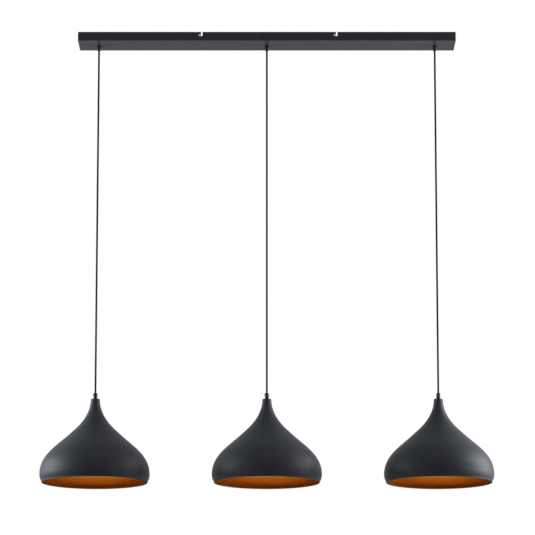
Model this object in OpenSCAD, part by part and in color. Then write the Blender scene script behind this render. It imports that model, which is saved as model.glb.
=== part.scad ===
// Linear pendant light: a long ceiling canopy that carries three spun onion shades on cords.
// Millimetres. +Z is up, X runs along the canopy, and the front is -Y.
// The origin is the middle of the plane where the canopy meets the ceiling.

/* [Canopy] */
// Length of the canopy
canopy_l = 1120; // [1060:10:1500]
// Width of the canopy, front to back
canopy_w = 115; // [64:1:140]
// Height of the canopy
canopy_h = 26.5; // [24:0.5:40]
// Thickness of the canopy's sheet steel
canopy_wall = 1.2; // [0.8:0.1:2]
// Outer radius of the canopy's upright corners
canopy_corner_r = 2.2; // [2.1:0.1:6]
// Width of the hanging notches in the canopy's long walls
notch_w = 4.4; // [4.4:0.1:6]
// Depth of the hanging notches below the canopy's top edge
notch_depth = 12.5; // [11:0.5:16]
// Sideways step from a notch's entry to its seat
notch_step = 7; // [6:0.5:12]

/* [Ceiling bracket] */
// Length of the bracket's strip
bracket_l = 430; // [420:5:520]
// Width of the bracket's strip
bracket_w = 22; // [20:0.5:40]
// Thickness of the bracket's steel
bracket_t = 1.5; // [1:0.1:2.5]
// Distance between the studs along the canopy
stud_span = 400; // [340:1:400]
// Diameter of the studs that the notches hang on
stud_d = 4; // [3:0.1:4.2]
// Width of the arms that carry the studs
arm_w = 8; // [8:0.5:12.4]
// Height of the arms' turned-down ears
ear_h = 16; // [14:0.5:20]
// Distance between the slots for the ceiling screws
slot_span = 300; // [200:5:320]
// Width of the slots for the ceiling screws
slot_w = 5.5; // [4.5:0.5:7]
// Length of the slots for the ceiling screws, end to end
slot_l = 20; // [12:1:30]
// Diameter of the hole for the supply cable
entry_d = 14; // [10:0.5:16]
// Place of the supply cable's hole along the strip
entry_x = 84; // [78:1:110]

/* [Terminal block] */
// Length of the terminal block, across its poles
block_l = 30; // [26:1:34]
// Width of the terminal block, along the wires
block_w = 17; // [14:0.5:22]
// Height of the terminal block
block_h = 13; // [12:0.5:15]
// Place of the terminal block's near face along the strip
block_x = 40; // [34:1:50]
// Distance between the block's poles
pole_pitch = 10; // [8:0.5:11]
// Diameter of the block's wire holes
pole_d = 4; // [3:0.1:5]
// Diameter of the terminal screws
pole_screw_d = 3.4; // [3:0.1:4]
// Length of the terminal screws
pole_screw_l = 4; // [3:0.1:4.4]
// Diameter of the earth lead
earth_d = 2.6; // [2:0.1:3]
// Diameter of the earth stud
earth_stud_d = 4; // [3:0.5:5]
// Height of the earth stud above the canopy's floor
earth_stud_h = 9; // [7:0.5:12]
// Place of the earth stud along the canopy
earth_x = 112; // [106:1:130]
// Place of the earth stud across the canopy
earth_y = -18; // [-24:1:-14]

/* [Pendants] */
// Distance from an outer pendant to the canopy's end
pendant_inset = 60; // [40:1:80]
// Diameter of the cord
cord_d = 5.6; // [5:0.1:6.5]
// Free length of the cord from grip to grip
cord_l = 1030; // [800:10:1500]
// Length of the cord's end that shows above the shade's grip
cord_end_l = 6; // [3:0.5:12]

/* [Cord grips] */
// Diameter of a cord grip
grip_d = 12; // [11.5:0.1:16]
// Length of a cord grip outside the canopy or shade
grip_l = 17.5; // [15:0.5:25]
// Diameter of the canopy grip's lower end
grip_tip_d = 8.6; // [8:0.1:10]
// Length of the canopy grip's taper
grip_taper_l = 5.5; // [3:0.5:8]
// Bevel round the top of the shade's grip
grip_bevel = 1; // [0.4:0.1:1.4]
// Diameter of the threads on grips and nipples
thread_d = 10; // [9.4:0.1:10.4]
// Length of the canopy grip's thread above the canopy's underside
grip_thread_l = 7; // [6.5:0.1:8]
// Distance from a grip's outer end to its clamp screw
grip_screw_z = 4.2; // [3:0.1:5]
// Distance from the canopy grip's shoulder to its clamp screw
canopy_screw_z = 6; // [4:0.5:8]
// Diameter of the clamp screws
grip_screw_d = 3; // [2.5:0.1:3.5]
// How far a clamp screw's head stands out of its grip
grip_screw_out = 2; // [1:0.1:3]
// Directions of the shade grips' clamp screws, in degrees from +X
grip_screw_turn = [225, 180, 60]; // [0:5:355]
// Width across flats of the nuts on the threads
nut_af = 14; // [13:0.5:15]
// Height of the nuts on the threads
nut_h = 3; // [2.5:0.1:3.5]

/* [Shade] */
// Widest diameter of the shade
shade_d = 320; // [280:5:360]
// Height of the shade
shade_h = 245; // [230:1:300]
// Diameter of the shade's neck
neck_d = 26.5; // [24:0.5:32]
// Diameter of the shade's opening
rim_d = 308; // [260:1:312]
// Height of the lip below the widest place
lip_h = 24; // [16:1:30]
// Height of the straight edge round the shade's mouth
rim_edge_h = 2; // [1:0.5:4]
// Thickness of the shade's metal
shade_wall = 1.2; // [0.8:0.1:1.6]
// Radius of the flank at the place where the neck's curve ends
flank_r = 72; // [64:1:80]
// Depth of that place below the shade's top
flank_depth = 102; // [96:1:108]
// Angle of the flank there, from upright
flank_angle = 46; // [42:1:52]

/* [Lamp holder] */
// Depth of the lamp holder's top below the shade's top
holder_drop = 30; // [29:0.5:36]
// Diameter of the lamp holder
holder_d = 38; // [37:0.5:40]
// Wall of the lamp holder
holder_wall = 2; // [1.6:0.1:2.2]
// Diameter of the lamp holder cap's boss
boss_d = 18; // [16:0.5:18]
// Height of the lamp holder cap's dome
dome_h = 16; // [14:0.5:18]
// Height of the cap's straight skirt
cap_skirt_h = 8; // [7:0.5:10]
// Height of the holder's lower shell below the cap
shell_h = 32; // [30:0.5:36]
// Inner diameter of the threaded metal shell
lamp_thread_d = 27; // [26.6:0.1:27.2]
// Thickness of the contacts' brass
contact_t = 0.4; // [0.3:0.1:0.6]
// Diameter of the nipple's bore
nipple_bore = 7; // [6.8:0.1:7.6]
// Diameter of one wire core
core_d = 1.8; // [1.4:0.1:2]

/* [Bulb] */
// Diameter of the bulb
bulb_d = 60; // [50:1:65]
// Length of the bulb from its contact to its end
bulb_l = 108; // [100:1:112]
// Diameter of the bulb's metal cap
bulb_cap_d = 26.1; // [25.8:0.1:26.2]
// Length of the bulb's metal cap with its contact
bulb_cap_l = 25; // [21:0.5:27]
// Diameter of the bulb's neck below its cap
bulb_neck_d = 29; // [28:0.5:30]
// Thickness of the bulb's glass
glass_t = 1; // [0.8:0.1:1.5]

/* [Clearances] */
// Gap between pieces that are fixed together
fit_gap = 0.05; // [0.02:0.01:0.1]
// Gap between pieces that move on each other
move_gap = 0.1; // [0.05:0.01:0.2]
// Radial gap between a cord and the bore that it runs through
cord_gap = 0.1; // [0.05:0.01:0.15]

/* [Hidden] */
$fn = 64;
SIDES = ["left", "middle", "right"];
PENDANTS = [0, 1, 2];
ROOT_NODES = [
    "canopy_cover",
    "ceiling_bracket",
    "terminal_block",
    "terminal_screws",
    "earth_lead",
    "earth_stud",
    "canopy_grip_left",
    "canopy_grip_middle",
    "canopy_grip_right",
    "canopy_grip_nuts",
    "canopy_grip_screws",
    "canopy_leads"
];
PENDANT_NODES = [
    "cord_bend",
    "cord",
    "cord_end",
    "shade_grip",
    "shade_grip_screw",
    "nipple",
    "shade_nut",
    "shade",
    "holder_cap",
    "holder_shell",
    "holder_insert",
    "holder_contacts",
    "core_wires",
    "bulb_glass",
    "bulb_cap",
    "bulb_contact"
];

cut = 1;
cord_r = cord_d / 2;
cord_bore_r = cord_r + cord_gap;
thread_r = thread_d / 2;
thread_bore_r = thread_r + fit_gap;

floor_z = -canopy_h + canopy_wall;
inner_w = canopy_w - 2 * canopy_wall;
pendant_pitch = canopy_l / 2 - pendant_inset;
grip_mouth_z = -canopy_h - grip_l;
pivot_z = grip_mouth_z - move_gap - cord_r;
cord_top_z = pivot_z - cord_r - move_gap;
shade_top_z = grip_mouth_z - cord_l - grip_l;
cord_end_top_z = shade_top_z + grip_l + cord_end_l;
cord_bottom_z = cord_end_top_z + move_gap;

stud_z = -(notch_depth - notch_w) - fit_gap - stud_d / 2;
ear_y = inner_w / 2 - fit_gap;
block_top_z = -bracket_t - fit_gap;
pole_z = block_top_z - 7.5;
pole_screw_in = 4.6;
lead_z = floor_z + fit_gap + cord_r;
grip_top_z = -canopy_h + grip_thread_l;
earth_tag_r = earth_stud_d / 2 + 3;
earth_tag_t = 0.8;

// Depths below the shade's top
grip_socket = 8;
nipple_end = holder_drop + grip_socket;
dome_end = holder_drop + dome_h;
cap_end = dome_end + cap_skirt_h;
shell_end = cap_end + shell_h;
holder_r = holder_d / 2;
skirt_r = holder_r - holder_wall;
insert_r = skirt_r - holder_wall;
insert_top = dome_end + 3;
insert_h = 12;
insert_end = insert_top + insert_h;
tongue_r = 4;
tongue_recess = 3;
contact_top = insert_end + 0.2;
bulb_contact_h = 1.6;
bulb_contact_r = 4.2;
thread_shell_h = 20;
bulb_end = contact_top + bulb_l;
bulb_cap_end = contact_top + bulb_cap_l;
core_x = 8;
core_start_x = 1.3;
cord_tail = nipple_end + 1;

// Route of the cord from a canopy grip over its bend, as distances towards the middle and heights
LEAD_BEND = [[0, -17], [0.8, -13.2], [3, -9.6], [6.6, -7.2], [11, -6.4], [16, -7.4]];
LEAD_DROP = [[24, -11.5], [32, -17.2], [42, -21.2]];

SHADE_COLOUR = [0.13, 0.135, 0.145];
CANOPY_COLOUR = [0.15, 0.155, 0.165];
BLACK = [0.06, 0.06, 0.065];
ZINC = [0.72, 0.73, 0.74];
BRASS = [0.8, 0.62, 0.3];
WHITE = [0.93, 0.93, 0.91];

function pendant_x(i) = (i - 1) * pendant_pitch;
function bezier(a, b, c, d, t) =
    pow(1 - t, 3) * a + 3 * pow(1 - t, 2) * t * b + 3 * (1 - t) * pow(t, 2) * c + pow(t, 3) * d;
function bezier_points(a, b, c, d, steps) = [for (k = [1:steps]) bezier(a, b, c, d, k / steps)];
function unit(v) = v / norm(v);
function before(p, i) = p[max(i - 1, 0)];
function after(p, i) = p[min(i + 1, len(p) - 1)];
function along(p, i) = unit(after(p, i) - before(p, i));

// The shade's outline from neck to rim, as radius and depth, in three curves that join smoothly
neck_point = [neck_d / 2, 0];
flank_point = [flank_r, flank_depth];
belly_point = [shade_d / 2, shade_h - lip_h];
rim_point = [rim_d / 2, shade_h - rim_edge_h];
flank_way = [sin(flank_angle), cos(flank_angle)];
neck_pull = 56;
flank_pull_up = 15;
flank_pull_down = 53;
belly_pull = 56;
lip_pull = 13;
outline = concat(
    [neck_point],
    bezier_points(
        neck_point,
        neck_point + [0, neck_pull],
        flank_point - flank_pull_up * flank_way,
        flank_point,
        10
    ),
    bezier_points(
        flank_point,
        flank_point + flank_pull_down * flank_way,
        belly_point - [0, belly_pull],
        belly_point,
        12
    ),
    bezier_points(
        belly_point,
        belly_point + [0, lip_pull],
        rim_point + [0.8, -4],
        rim_point,
        5
    ),
    [rim_point + [0, rim_edge_h]]
);
inline = [
    for (i = [1:len(outline) - 1])
        let (way = along(outline, i))
        outline[i] + shade_wall * [-way.y, way.x]
];
inner_outline = [for (p = inline) if (p.y > 2 * shade_wall && p.y < rim_point.y - 1) p];

module pendant(i) {
    translate([pendant_x(i), 0, 0]) children();
}

module in_shade(i) {
    pendant(i) translate([0, 0, shade_top_z]) children();
}

// Turns an outline given as radius and depth about the upright axis
module spun(points) {
    rotate_extrude() polygon([for (p = points) [p.x, -p.y]]);
}

// A round tube whose rings stand on the points of a route, square to it
module tube(route, d, sides = 8) {
    rings = [
        for (i = [0:len(route) - 1])
            let (way = along(route, i), side = unit(cross([0, 1, 0], way)), up = cross(way, side))
            for (k = [0:sides - 1])
                route[i] + d / 2 * (cos(360 * k / sides) * side + sin(360 * k / sides) * up)
    ];
    last = (len(route) - 1) * sides;
    ends = concat(
        [for (k = [1:sides - 2]) [0, k, k + 1]],
        [for (k = [1:sides - 2]) [last, last + k + 1, last + k]]
    );
    skin = [
        for (i = [0:len(route) - 2])
            for (k = [0:sides - 1])
                let (a = i * sides + k, b = i * sides + (k + 1) % sides)
                each [[a, a + sides, b], [b, a + sides, b + sides]]
    ];
    polyhedron(concat(rings), concat(ends, skin), convexity = 6);
}

module rounded_plate(l, w, h, r) {
    linear_extrude(h) union() {
        square([l - 2 * r, w], center = true);
        square([l, w - 2 * r], center = true);
        for (sx = [-1, 1])
            for (sy = [-1, 1])
                translate([sx * (l / 2 - r), sy * (w / 2 - r)]) circle(r);
    }
}

// Sideways slot of a given width, length and depth along Z, centred on the origin
module slot(length, width, depth) {
    straight = length - width;
    translate([-straight / 2, -width / 2, 0]) cube([straight, width, depth]);
    for (s = [-1, 1])
        translate([s * straight / 2, 0, 0]) cylinder(d = width, h = depth);
}

module hex_nut(h) {
    difference() {
        cylinder(d = nut_af / cos(30), h = h, $fn = 6);
        translate([0, 0, -cut]) cylinder(r = thread_bore_r, h = h + 2 * cut);
    }
}

// Entry slot from the top edge, then the seat at its foot, towards -X
module notch(x) {
    translate([x + notch_step - notch_w / 2, -canopy_w, -notch_depth])
        cube([notch_w, 2 * canopy_w, notch_depth + cut]);
    translate([x - notch_w / 2, -canopy_w, -notch_depth])
        cube([notch_step + notch_w / 2, 2 * canopy_w, notch_w]);
}

module canopy_cover() {
    color(CANOPY_COLOUR)
    difference() {
        translate([0, 0, -canopy_h])
            rounded_plate(canopy_l, canopy_w, canopy_h, canopy_corner_r);
        translate([0, 0, floor_z])
            rounded_plate(
                canopy_l - 2 * canopy_wall,
                inner_w,
                canopy_h,
                canopy_corner_r - canopy_wall
            );
        for (i = PENDANTS)
            pendant(i) translate([0, 0, -canopy_h - cut])
                cylinder(r = thread_r + move_gap, h = canopy_wall + 2 * cut);
        for (s = [-1, 1])
            notch(s * stud_span / 2);
    }
}

module ceiling_bracket() {
    color(ZINC)
    difference() {
        union() {
            translate([-bracket_l / 2, -bracket_w / 2, -bracket_t])
                cube([bracket_l, bracket_w, bracket_t]);
            for (s = [-1, 1])
                translate([s * stud_span / 2, 0, 0]) bracket_arm();
        }
        for (s = [-1, 1])
            translate([s * slot_span / 2, 0, -bracket_t - cut])
                slot(slot_l, slot_w, bracket_t + 2 * cut);
        translate([entry_x, 0, -bracket_t - cut])
            cylinder(d = entry_d, h = bracket_t + 2 * cut);
    }
}

// Cross arm with an ear turned down at each end, and a stud out of each ear
module bracket_arm() {
    translate([-arm_w / 2, -ear_y, -bracket_t]) cube([arm_w, 2 * ear_y, bracket_t]);
    for (side = [0, 180])
        rotate([0, 0, side]) {
            translate([-arm_w / 2, -ear_y, -ear_h]) cube([arm_w, bracket_t, ear_h]);
            translate([0, -ear_y + bracket_t / 2, stud_z]) rotate([90, 0, 0])
                cylinder(d = stud_d, h = canopy_w / 2 - ear_y + bracket_t / 2);
        }
}

module terminal_block() {
    color(WHITE)
    difference() {
        translate([block_x, -block_l / 2, block_top_z - block_h])
            cube([block_w, block_l, block_h]);
        for (pole = [-1:1])
            translate([block_x - cut, pole * pole_pitch, pole_z]) rotate([0, 90, 0])
                cylinder(d = pole_d, h = block_w + 2 * cut);
        pole_screws_at() translate([0, 0, -block_h])
            cylinder(d = pole_screw_d + 2 * fit_gap, h = block_h);
    }
}

// Puts its children at the top of each terminal screw, at wire height
module pole_screws_at() {
    for (pole = [-1:1])
        for (x = [block_x + pole_screw_in, block_x + block_w - pole_screw_in])
            translate([x, pole * pole_pitch, pole_z]) children();
}

module terminal_screws() {
    color(ZINC) pole_screws_at() difference() {
        translate([0, 0, -pole_screw_l]) cylinder(d = pole_screw_d, h = pole_screw_l);
        translate([-pole_screw_d, -0.3, -pole_screw_l - cut])
            cube([2 * pole_screw_d, 0.6, cut + 0.8]);
    }
}

module earth_lead() {
    block_end = block_x + block_w;
    lie_z = floor_z + fit_gap + earth_d / 2;
    color([0.35, 0.62, 0.2])
        tube([
            [block_end - pole_screw_in + pole_screw_d / 2 + fit_gap, -pole_pitch, pole_z],
            [block_end + 3, -pole_pitch, pole_z],
            [block_end + 10, -pole_pitch - 1, pole_z - 3],
            [block_end + 18, -pole_pitch - 3, lie_z + 5],
            [block_end + 27, earth_y + 3, lie_z + 1],
            [earth_x - 16, earth_y + 1, lie_z],
            [earth_x - earth_tag_r - 3, earth_y, lie_z],
            [earth_x - earth_tag_r - 0.6, earth_y, lie_z]
        ], earth_d);
    color(ZINC) difference() {
        union() {
            translate([earth_x, earth_y, floor_z + fit_gap])
                cylinder(r = earth_tag_r, h = earth_tag_t);
            translate([earth_x - earth_tag_r - 0.5, earth_y - 1.5, floor_z + fit_gap])
                cube([earth_tag_r, 3, earth_tag_t]);
        }
        translate([earth_x, earth_y, floor_z - cut])
            cylinder(r = earth_stud_d / 2 + fit_gap, h = earth_tag_t + 2 * cut);
    }
}

module earth_stud() {
    color(ZINC) translate([earth_x, earth_y, floor_z]) {
        cylinder(d = earth_stud_d, h = earth_stud_h);
        translate([0, 0, earth_tag_t + 2 * fit_gap]) difference() {
            cylinder(d = 1.75 * earth_stud_d / cos(30), h = 3, $fn = 6);
            translate([0, 0, -cut])
                cylinder(r = earth_stud_d / 2 + fit_gap, h = 3 + 2 * cut);
        }
    }
}

module canopy_grip(i) {
    color(BLACK) pendant(i) difference() {
        spun([
            [cord_bore_r, -grip_top_z],
            [thread_r, -grip_top_z],
            [thread_r, canopy_h],
            [grip_d / 2, canopy_h],
            [grip_d / 2, canopy_h + grip_l - grip_taper_l],
            [grip_tip_d / 2, canopy_h + grip_l],
            [cord_bore_r, canopy_h + grip_l]
        ]);
        translate([0, 0, -canopy_h - canopy_screw_z]) rotate([-90, 0, 0])
            cylinder(d = grip_screw_d + 2 * fit_gap, h = grip_d);
    }
}

module canopy_grip_nuts() {
    color(ZINC) for (i = PENDANTS)
        pendant(i) translate([0, 0, floor_z]) hex_nut(nut_h);
}

// Clamp screw along +X, from the cord's bore out past the grip
module clamp_screw() {
    reach = grip_d / 2 + grip_screw_out;
    rotate([0, 90, 0]) difference() {
        translate([0, 0, cord_bore_r])
            cylinder(d = grip_screw_d, h = reach - cord_bore_r);
        translate([-grip_screw_d, -0.3, reach - 0.8])
            cube([2 * grip_screw_d, 0.6, 0.8 + cut]);
    }
}

module canopy_grip_screws() {
    color(ZINC) for (i = PENDANTS)
        pendant(i) translate([0, 0, -canopy_h - canopy_screw_z]) rotate([0, 0, 90]) clamp_screw();
}

// The route of a pendant's cord inside the canopy starts up through its grip
function lead_start(i, toward) = [
    for (p = concat([[0, grip_mouth_z]], LEAD_BEND)) [pendant_x(i) + toward * p.x, 0, p.y]
];
// It drops to the canopy's floor and moves over to its lane
function lead_drop(i, toward, lane) = concat(
    [for (k = [0:2]) [pendant_x(i) + toward * LEAD_DROP[k].x, lane * (k + 1) / 6, LEAD_DROP[k].y]],
    [
        [pendant_x(i) + toward * 56, lane * 0.75, lead_z],
        [pendant_x(i) + toward * 80, lane, lead_z]
    ]
);

module canopy_leads() {
    lane = pole_pitch + 4;
    near = block_x - fit_gap;
    far = block_x + block_w + fit_gap;
    color(BLACK) {
        tube(concat(lead_start(0, 1), lead_drop(0, 1, -lane), [
            [near - 38, -lane, lead_z],
            [near - 26, -pole_pitch - 3, lead_z + 2],
            [near - 14, -pole_pitch - 1, pole_z - 4],
            [near - 4, -pole_pitch, pole_z],
            [near, -pole_pitch, pole_z]
        ]), cord_d);
        tube(concat(lead_start(1, 1), [
            [near - 14, 0, pole_z + 0.6],
            [near - 4, 0, pole_z],
            [near, 0, pole_z]
        ]), cord_d);
        tube(concat(lead_start(2, -1), lead_drop(2, -1, lane), [
            [far + 40, lane, lead_z],
            [far + 26, pole_pitch + 3, lead_z + 2],
            [far + 14, pole_pitch + 1, pole_z - 4],
            [far + 4, pole_pitch, pole_z],
            [far, pole_pitch, pole_z]
        ]), cord_d);
    }
}

// The cord's turning point just below its grip
module cord_bend(i) {
    color(BLACK) pendant(i) translate([0, 0, pivot_z]) sphere(r = cord_r);
}

module cord(i) {
    color(BLACK) pendant(i) translate([0, 0, cord_bottom_z])
        cylinder(r = cord_r, h = cord_top_z - cord_bottom_z);
}

// The cord's last stretch, down through the grip and nipple into the lamp holder
module cord_end(i) {
    color(BLACK) in_shade(i) translate([0, 0, -cord_tail])
        cylinder(r = cord_r, h = cord_end_top_z - shade_top_z + cord_tail);
}

module shade_grip(i) {
    color(BLACK) in_shade(i) difference() {
        spun([
            [thread_bore_r, 0],
            [grip_d / 2, 0],
            [grip_d / 2, -grip_l + grip_bevel],
            [grip_d / 2 - grip_bevel, -grip_l],
            [cord_bore_r, -grip_l],
            [cord_bore_r, -grip_socket],
            [thread_bore_r, -grip_socket]
        ]);
        translate([0, 0, grip_l - grip_screw_z]) rotate([0, 90, grip_screw_turn[i]])
            cylinder(d = grip_screw_d + 2 * fit_gap, h = grip_d);
    }
}

module shade_grip_screw(i) {
    color(BLACK) in_shade(i) translate([0, 0, grip_l - grip_screw_z])
        rotate([0, 0, grip_screw_turn[i]]) clamp_screw();
}

module nipple(i) {
    color(ZINC) in_shade(i) spun([
        [nipple_bore / 2, -grip_socket + fit_gap],
        [thread_r, -grip_socket + fit_gap],
        [thread_r, nipple_end],
        [nipple_bore / 2, nipple_end]
    ]);
}

module shade_nut(i) {
    washer_r = nut_af / 2 + 2;
    washer_t = 1;
    color(ZINC) in_shade(i) {
        spun([
            [thread_bore_r, shade_wall],
            [washer_r, shade_wall],
            [washer_r, shade_wall + washer_t],
            [thread_bore_r, shade_wall + washer_t]
        ]);
        translate([0, 0, -shade_wall - washer_t - nut_h]) hex_nut(nut_h);
    }
}

module shade(i) {
    hole_r = thread_r + move_gap;
    color(SHADE_COLOUR) in_shade(i) spun(concat(
        [[hole_r, 0]],
        outline,
        [[rim_d / 2 - shade_wall, shade_h], [rim_d / 2 - shade_wall, rim_point.y]],
        [for (k = [len(inner_outline) - 1:-1:0]) inner_outline[k]],
        [[neck_d / 2 - shade_wall, shade_wall], [hole_r, shade_wall]]
    ));
}

// A quarter ellipse from the boss's edge out to the skirt, as radius and depth
function dome(boss_r, skirt, top, end) =
    [for (a = [0:15:90]) [boss_r + (skirt - boss_r) * sin(a), end - (end - top) * cos(a)]];

module holder_cap(i) {
    outer = dome(boss_d / 2, holder_r, holder_drop, dome_end);
    inner = dome(boss_d / 2, skirt_r, holder_drop + holder_wall, dome_end);
    boss_in = boss_d / 2 - 1;
    color(BLACK) in_shade(i) spun(concat(
        [[thread_bore_r, holder_drop]],
        outer,
        [[holder_r, cap_end], [skirt_r, cap_end]],
        [for (k = [len(inner) - 1:-1:0]) inner[k]],
        [
            [boss_in, holder_drop + holder_wall],
            [boss_in, nipple_end],
            [thread_bore_r, nipple_end]
        ]
    ));
}

module holder_shell(i) {
    ledge_r = insert_r - 0.8;
    color(BLACK) in_shade(i) spun([
        [insert_r + fit_gap, insert_top - 1],
        [skirt_r - fit_gap, insert_top - 1],
        [skirt_r - fit_gap, cap_end + fit_gap],
        [holder_r, cap_end + fit_gap],
        [holder_r, shell_end],
        [skirt_r, shell_end],
        [skirt_r, insert_end + 2],
        [ledge_r, insert_end + 2],
        [ledge_r, insert_end + fit_gap],
        [insert_r + fit_gap, insert_end + fit_gap]
    ]);
}

module holder_insert(i) {
    color(WHITE) in_shade(i) difference() {
        translate([0, 0, -insert_end]) cylinder(r = insert_r, h = insert_h);
        for (s = [-1, 1])
            translate([s * core_x, 0, -insert_top - 6])
                cylinder(d = core_d + 1, h = 6 + cut);
        translate([0, 0, -insert_end - cut])
            cylinder(r = tongue_r + 1, h = tongue_recess + cut);
    }
}

// The threaded metal shell that takes the bulb's cap, and the tongue that meets its contact
module holder_contacts(i) {
    thread_r_in = lamp_thread_d / 2;
    color(BRASS) in_shade(i) {
        spun([
            [tongue_r + 2, insert_end + fit_gap],
            [thread_r_in + contact_t, insert_end + fit_gap],
            [thread_r_in + contact_t, insert_end + thread_shell_h],
            [thread_r_in, insert_end + thread_shell_h],
            [thread_r_in, insert_end + fit_gap + contact_t],
            [tongue_r + 2, insert_end + fit_gap + contact_t]
        ]);
        translate([0, 0, -insert_end]) cylinder(r = tongue_r, h = tongue_recess);
    }
}

module core_wires(i) {
    color([0.25, 0.4, 0.75]) in_shade(i) for (s = [-1, 1])
        tube([
            [s * core_start_x, 0, -cord_tail - fit_gap],
            [s * core_start_x, 0, -cord_tail - 1.5],
            [s * (core_start_x + 1.4), 0, -cord_tail - 4],
            [s * (core_x - 1.6), 0, -insert_top + 2.6],
            [s * core_x, 0, -insert_top],
            [s * core_x, 0, -insert_top - 5]
        ], core_d);
}

module bulb_glass(i) {
    r = bulb_d / 2;
    centre = bulb_end - r;
    neck_r = bulb_neck_d / 2;
    neck_start = bulb_cap_end + fit_gap;
    tail_r = bulb_cap_d / 2 - 0.8;
    shoulder = neck_start + 1.5;
    body = concat(
        [[neck_r, shoulder]],
        bezier_points(
            [neck_r, shoulder],
            [neck_r + 1, shoulder + 18],
            [r, centre - 24],
            [r, centre],
            8
        ),
        [for (a = [15:15:75]) [r * cos(a), centre + r * sin(a)]]
    );
    skin = [for (k = [0:len(body) - 1]) body[k] + glass_t * [-along(body, k).y, along(body, k).x]];
    color([0.97, 0.96, 0.93]) in_shade(i) spun(concat(
        [[tail_r - glass_t, neck_start - 4], [tail_r, neck_start - 4], [tail_r, neck_start]],
        body,
        [[0, bulb_end], [0, bulb_end - glass_t]],
        [for (k = [len(skin) - 1:-1:0]) [skin[k].x, min(skin[k].y, bulb_end - glass_t)]],
        [[tail_r - glass_t, neck_start + 1]]
    ));
}

module bulb_cap(i) {
    r = bulb_cap_d / 2;
    metal = 0.5;
    top = contact_top + bulb_contact_h + fit_gap;
    color(ZINC) in_shade(i) spun([
        [0, top],
        [bulb_contact_r + 1.2, top],
        [r - 2, top + 3.5],
        [r, top + 5],
        [r, bulb_cap_end],
        [r - metal, bulb_cap_end],
        [r - metal, top + 5.4],
        [r - 2 - metal, top + 4.2],
        [bulb_contact_r + 0.6, top + 1],
        [0, top + 1]
    ]);
}

module bulb_contact(i) {
    color(ZINC) in_shade(i) translate([0, 0, -contact_top - bulb_contact_h])
        cylinder(r = bulb_contact_r, h = bulb_contact_h);
}

canopy_cover();
ceiling_bracket();
terminal_block();
terminal_screws();
earth_lead();
earth_stud();
canopy_grip(0);  // canopy_grip_left
canopy_grip(1);  // canopy_grip_middle
canopy_grip(2);  // canopy_grip_right
canopy_grip_nuts();
canopy_grip_screws();
canopy_leads();
cord_bend(0);  // cord_bend_left
cord_bend(1);  // cord_bend_middle
cord_bend(2);  // cord_bend_right
cord(0);  // cord_left
cord(1);  // cord_middle
cord(2);  // cord_right
cord_end(0);  // cord_end_left
cord_end(1);  // cord_end_middle
cord_end(2);  // cord_end_right
shade_grip(0);  // shade_grip_left
shade_grip(1);  // shade_grip_middle
shade_grip(2);  // shade_grip_right
shade_grip_screw(0);  // shade_grip_screw_left
shade_grip_screw(1);  // shade_grip_screw_middle
shade_grip_screw(2);  // shade_grip_screw_right
nipple(0);  // nipple_left
nipple(1);  // nipple_middle
nipple(2);  // nipple_right
shade_nut(0);  // shade_nut_left
shade_nut(1);  // shade_nut_middle
shade_nut(2);  // shade_nut_right
shade(0);  // shade_left
shade(1);  // shade_middle
shade(2);  // shade_right
holder_cap(0);  // holder_cap_left
holder_cap(1);  // holder_cap_middle
holder_cap(2);  // holder_cap_right
holder_shell(0);  // holder_shell_left
holder_shell(1);  // holder_shell_middle
holder_shell(2);  // holder_shell_right
holder_insert(0);  // holder_insert_left
holder_insert(1);  // holder_insert_middle
holder_insert(2);  // holder_insert_right
holder_contacts(0);  // holder_contacts_left
holder_contacts(1);  // holder_contacts_middle
holder_contacts(2);  // holder_contacts_right
core_wires(0);  // core_wires_left
core_wires(1);  // core_wires_middle
core_wires(2);  // core_wires_right
bulb_glass(0);  // bulb_glass_left
bulb_glass(1);  // bulb_glass_middle
bulb_glass(2);  // bulb_glass_right
bulb_cap(0);  // bulb_cap_left
bulb_cap(1);  // bulb_cap_middle
bulb_cap(2);  // bulb_cap_right
bulb_contact(0);  // bulb_contact_left
bulb_contact(1);  // bulb_contact_middle
bulb_contact(2);  // bulb_contact_right
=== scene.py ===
"""Looks of the linear pendant light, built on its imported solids. Metres; +Z is up, the front is -Y."""

import math

import bmesh
import bpy
import numpy as np
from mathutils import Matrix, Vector


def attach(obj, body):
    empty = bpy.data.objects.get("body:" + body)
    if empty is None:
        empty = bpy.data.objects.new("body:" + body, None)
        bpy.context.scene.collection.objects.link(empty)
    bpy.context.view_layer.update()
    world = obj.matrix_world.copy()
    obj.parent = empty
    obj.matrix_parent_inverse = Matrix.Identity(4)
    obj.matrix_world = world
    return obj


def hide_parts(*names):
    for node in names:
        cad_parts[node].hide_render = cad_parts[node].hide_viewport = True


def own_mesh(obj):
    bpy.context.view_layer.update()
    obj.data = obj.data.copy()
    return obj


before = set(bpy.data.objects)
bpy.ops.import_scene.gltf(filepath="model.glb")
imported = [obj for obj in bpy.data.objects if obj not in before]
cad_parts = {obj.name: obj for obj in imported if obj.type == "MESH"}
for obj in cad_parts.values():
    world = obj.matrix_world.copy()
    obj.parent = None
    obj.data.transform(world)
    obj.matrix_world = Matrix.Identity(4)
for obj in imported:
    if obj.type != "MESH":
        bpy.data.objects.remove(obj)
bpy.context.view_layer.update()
scene = bpy.context.scene

SIDES = {"left": -0.5, "middle": 0.0, "right": 0.5}
TAU = 2 * math.pi

# The canopy, and the upper side of its floor
CANOPY_H = 0.0265
FLOOR_Z = -0.0253

# The cord grips: radius and length, the taper at a canopy grip's tip, the M10 thread and the cord's bore
GRIP_L = 0.0175
GRIP_R = 0.006
GRIP_TIP_R = 0.0043
GRIP_TAPER_L = 0.0055
M10_R = 0.005
M10_PITCH = 0.001
CORD_R = 0.0028
BORE_R = CORD_R + 0.0001

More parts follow.
